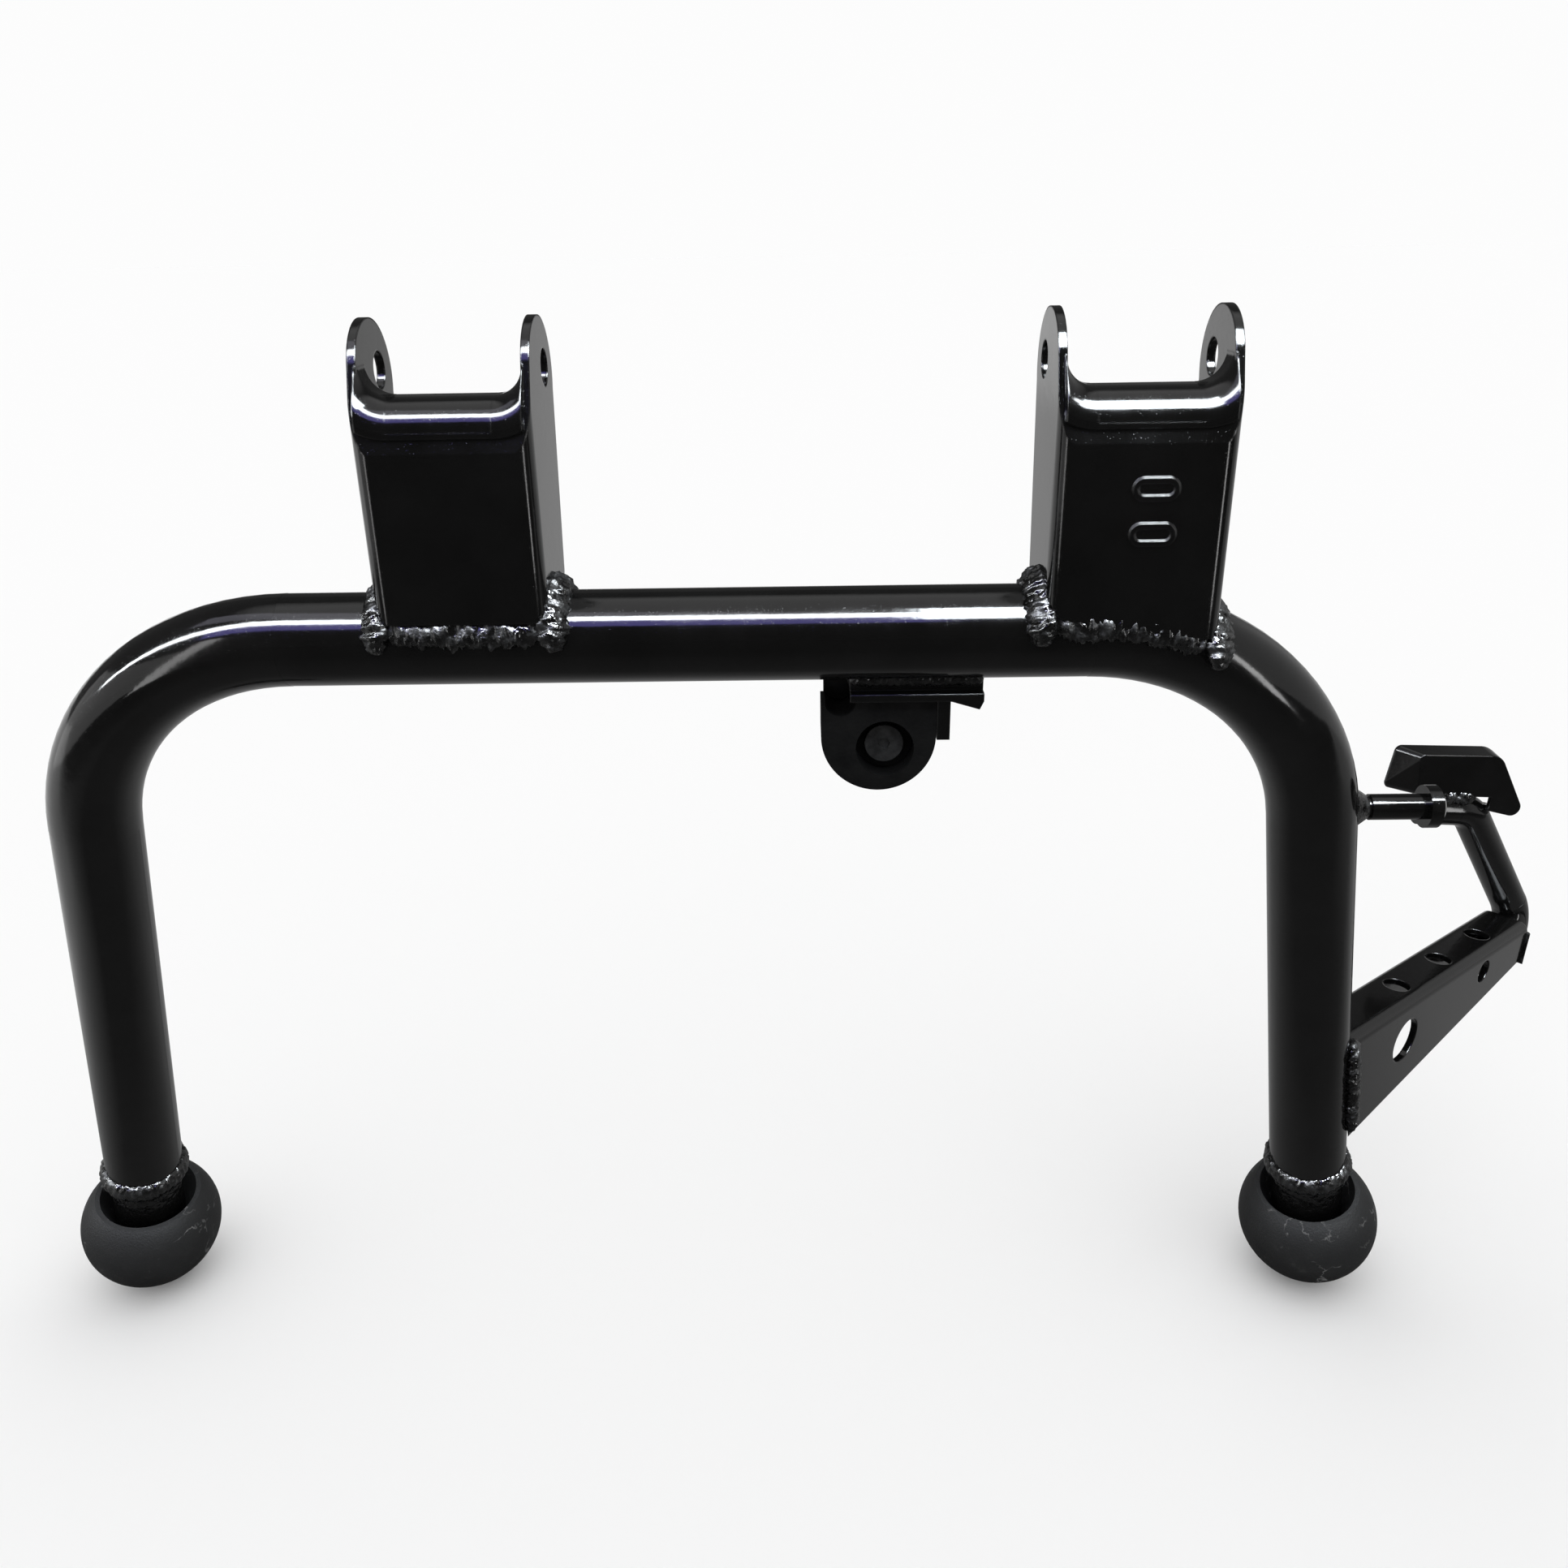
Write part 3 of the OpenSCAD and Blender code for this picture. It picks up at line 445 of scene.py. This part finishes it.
def surround():
    """Even white dome, as bright behind the floor as the floor, which the gloss sees graded."""
    world = bpy.data.worlds.new("surround")
    world.use_nodes = True
    tree = world.node_tree
    dome = tree.nodes["Background"]
    dome.inputs["Color"].default_value = (1.0, 1.0, 1.0, 1.0)
    dome.inputs["Strength"].default_value = DOME
    plain = tree.nodes.new("ShaderNodeBackground")
    plain.inputs["Color"].default_value = (1.0, 1.0, 1.0, 1.0)
    plain.inputs["Strength"].default_value = DOME * FLOOR_PALE
    graded = tree.nodes.new("ShaderNodeBackground")
    tone = blend(tree, "LIGHTEN", axis_ramp(tree, *SKY_DEPTH), axis_ramp(tree, *SKY_HEIGHT))
    tone = blend(tree, "LIGHTEN", tone, axis_ramp(tree, *SKY_RIGHT))
    tree.links.new(tone, graded.inputs["Color"])
    lit = by_ray(tree, "Is Glossy Ray", dome.outputs["Background"], graded.outputs["Background"])
    seen = by_ray(tree, "Is Camera Ray", lit, plain.outputs["Background"])
    tree.links.new(seen, tree.nodes["World Output"].inputs["Surface"])
    bpy.context.scene.world = world
    bpy.context.scene.view_settings.view_transform = "Standard"


def lights():
    """Soft boxes above, in front and beside, for the highlights."""
    for name, elevation, distance, x, aim_x, size, radiance, colour in TOP_BOXES:
        aim = above(0.0, 0.0, aim_x)
        area_light(name, above(elevation, distance, x), aim, size, radiance, colour)
    for name, at, aim, size, radiance in SIDE_BOXES:
        area_light(name, at, aim, size, radiance)


def fall(x):
    """Drop of the bent tube below its cross run, x beyond the start of the bend."""
    return BEND_R - math.sqrt(BEND_R * BEND_R - x * x) if x > 0.0 else 0.0


def turn(angle, axis):
    return Matrix.Rotation(math.radians(angle), 4, axis)


def tube_frame():
    return Matrix.Translation((0.0, TUBE_Y, TUBE_Z)) @ turn(RAKE, "X")


def leg_frame(side, down):
    """The leg's axis, down below the end of its bend, with Z up along the leg."""
    bend = Matrix.Translation((side * RUN[side], 0.0, -BEND_R)) @ turn(side * (90.0 - SPLAY), "Y")
    leg = bend @ Matrix.Translation((side * down, 0.0, BEND_R)) @ turn(-side * 90.0, "Y")
    return tube_frame() @ leg


def arm_frame():
    yaw = leg_frame(1, ARM_DOWN) @ turn(ARM_YAW, "Z")
    return yaw @ turn(ARM_DROOP, "Y") @ Matrix.Translation((0.0, -ARM_SHIFT, 0.0))


def resample(points, closed):
    """The same path in steps of one ring, with the distance along it."""
    if closed:
        points = points + [points[0]]
    out, along, total = [], [], 0.0
    for a, b in zip(points, points[1:]):
        length = (b - a).length
        count = max(1, round(length / STEP))
        for i in range(count):
            out.append(a.lerp(b, i / count))
            along.append(total + length * i / count)
        total += length
    if not closed:
        out.append(points[-1])
        along.append(total)
    return out, along, total


def bead(name, node, path, out, material, wide, high, closed=False, lumpy=0.16, coin=0.13):
    """A ripple-welded bead along a path: rings of a rounded section, each ripple a small crescent.

    out gives the outward direction at a point, and wide and high are the half sizes across and
    along it. lumpy and coin are the depths of the lumps and the ripples, as shares of the size.
    """
    points, along, total = resample([Vector(p) for p in path], closed)
    count = len(points)
    verts, faces = [], []
    for i, (at, s) in enumerate(zip(points, along)):
        before = points[i - 1] if i > 0 or closed else at
        after = points[(i + 1) % count] if i + 1 < count or closed else at
        ahead = (after - before).normalized()
        up = out(at)
        up = (up - ahead * up.dot(ahead)).normalized()
        across = ahead.cross(up)
        swell = math.sqrt(max(0.0, min(s, total - s)) / wide)
        end = 1.0 if closed else min(1.0, END_SIZE + (1.0 - END_SIZE) * swell)
        for k in range(ROUND):
            angle = 2.0 * math.pi * k / ROUND
            crown = math.cos(angle)
            phase = ((s + BOW * wide * crown) / PITCH) % 1.0
            ripple = 1.0 - abs(2.0 * phase - 1.0) ** STEEP
            size = end * (1.0 - MEAN * coin + coin * ripple)
            spot = at + up * (high * crown * size) + across * (wide * math.sin(angle) * size)
            large = noise.noise(spot * LUMP_WAVES) * lumpy
            fine = noise.noise(spot * FINE_WAVES) * lumpy * FINE_SHARE
            spot = at + (spot - at) * (1.0 + large + fine)
            verts.append(spot * MM)
    loops = count if closed else count - 1
    for i in range(loops):
        j = (i + 1) % count
        for k in range(ROUND):
            m = (k + 1) % ROUND
            faces.append((i * ROUND + k, i * ROUND + m, j * ROUND + m, j * ROUND + k))
    if not closed:
        faces.append(tuple(reversed(range(ROUND))))
        faces.append(tuple(range((count - 1) * ROUND, count * ROUND)))
    mesh = bpy.data.meshes.new(name)
    mesh.from_pydata(verts, [], faces)
    mesh.polygons.foreach_set("use_smooth", [True] * len(mesh.polygons))
    obj = bpy.data.objects.new(name, mesh)
    bpy.context.collection.objects.link(obj)
    dress(obj, material)
    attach(obj, "root")
    if node:
        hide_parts(node)


def web_bead(side, word, material):
    """Bead under a bracket's web, which drops with the tube where the tube bends."""
    length = BRACKET_OUT - BRACKET_IN - 2.0 * WEB_GAP
    path = []
    for i in range(STRAIGHT + 1):
        x = BRACKET_IN + WEB_GAP + length * i / STRAIGHT
        path.append((side * x, WEB_Y + WEB_BACK, WEB_EDGE - WEB_DROP - fall(x - RUN[side])))
    up_front = Vector((0.0, -0.93, 0.36)).normalized()
    node = word + "_bracket_web_weld"
    bead(word + "_web_bead", node, path, lambda p: up_front, material, **WEB_BEAD)


def flange_bead(side, word, end, x, away, material):
    """Bead between the outer side of a flange and the tube, from the front over the top."""
    centre = Vector((side * x + away * FLANGE_GAP, TUBE_Y, TUBE_Z - fall(x - RUN[side])))
    lean = Vector((away, 0.0, 0.0))
    radius = TUBE_R + FLANGE_LIFT
    path = []
    for i in range(ARC + 1):
        a = math.radians(FLANGE_FROM + (FLANGE_TO - FLANGE_FROM) * i / ARC)
        path.append(centre + Vector((0.0, -radius * math.cos(a), radius * math.sin(a))))
    node = word + "_bracket_" + end + "_weld"
    name = word + "_" + end + "_bead"
    bead(name, node, path, lambda p: (p - centre).normalized() + lean, material, **FLANGE_BEAD)


def foot_bead(side, word, material):
    """Ring bead between the tube's end and the neck of the foot."""
    foot = leg_frame(side, LEG)
    middle = foot @ Vector((0.0, 0.0, -RING_DROP))
    path = []
    for i in range(CIRCLE):
        a = 2.0 * math.pi * i / CIRCLE
        path.append(foot @ Vector((RING_R * math.cos(a), RING_R * math.sin(a), -RING_DROP)))
    node = word + "_foot_weld"
    bead(word + "_foot_bead", node, path, lambda p: p - middle, material, **FOOT_BEAD)


def stop_beads(material):
    """Beads in front of and behind the stop's sheet, under the cross run."""
    z = TUBE_Z - TUBE_R - STOP_DROP
    xs = [STOP_LEFT + STOP_BEAD * i / STRAIGHT for i in range(STRAIGHT + 1)]
    front = [(x, TUBE_Y - STOP_GAP, z) for x in xs]
    rear = [(x, TUBE_Y + STOP_SHEET + STOP_GAP, z) for x in xs]
    down_front = Vector((0.0, -0.4, -1.0))
    down_rear = Vector((0.0, 0.4, -1.0))
    bead("stop_front_bead", "stop_bracket_weld", front, lambda p: down_front, material, **STOP_WELD)
    bead("stop_rear_bead", None, rear, lambda p: down_rear, material, **STOP_WELD)


def arm_beads(material):
    """Beads down the front and the rear face of the lever arm, where it meets the leg."""
    root = leg_frame(1, ARM_DOWN) @ turn(ARM_YAW, "Z")
    for side, word, node in ((-1, "front", "lever_arm_weld"), (1, "rear", None)):
        y = side * ARM_W / 2.0 - ARM_SHIFT
        x = math.sqrt(max(TUBE_R * TUBE_R - y * y, 0.0))
        path = []
        for i in range(STRAIGHT + 1):
            z = -ARM_TOP - (ARM_H - ARM_FREE) * i / STRAIGHT
            path.append(root @ Vector((x + ARM_GAP, y + side * ARM_LIFT, z)))
        away = (root.to_3x3() @ Vector((0.5, side, 0.0))).normalized()
        bead("arm_" + word + "_bead", node, path, lambda p, d=away: d, material, **ARM_BEAD)


def pad_bead(material):
    """Bead along the rod's grip, on the pad's side."""
    grip = arm_frame() @ Matrix.Translation(KNEE) @ turn(GRIP_YAW, "Z")
    path = []
    for i in range(GRIP_STEPS + 1):
        x = PAD_GAP + (GRIP_L - 2.0 * PAD_GAP) * i / GRIP_STEPS
        path.append(grip @ Vector((x, PAD_SIDE, ROD_R + PAD_LIFT)))
    away = (grip.to_3x3() @ Vector((0.0, 1.0, 0.35))).normalized()
    bead("pad_bead", "pad_weld", path, lambda p: away, material, **PAD_BEAD)


def welds(material):
    """Every bead that the photograph shows, along the same roots as the plain solids have."""
    for side, word in ((-1, "left"), (1, "right")):
        web_bead(side, word, material)
        flange_bead(side, word, "inner", BRACKET_IN, -side, material)
        flange_bead(side, word, "outer", BRACKET_OUT, side, material)
        foot_bead(side, word, material)
    stop_beads(material)
    arm_beads(material)
    pad_bead(material)


def main():
    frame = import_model()
    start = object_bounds()

    tube = paint("black_paint")
    sheet = paint("sheet_paint", edge=0.0008)
    neck = paint("neck_paint", rough=(0.05, 0.09), peel=0.45, swell=0.004)
    weld = weld_paint()
    rubber = foot_rubber()
    buffer = buffer_rubber()
    steel = screw_steel()
    groups = [
        (SHEETS, sheet),
        (TUBES, tube),
        (NECKS, neck),
        (BALLS, rubber),
        (BUFFERS, buffer),
        (SCREWS, steel),
    ]
    for name, obj in frame["nodes"].items():
        dress(obj, next((material for names, material in groups if name in names), weld))
    welds(weld)

    floor(start[0].z)
    surround()
    lights()
    camera()


main()
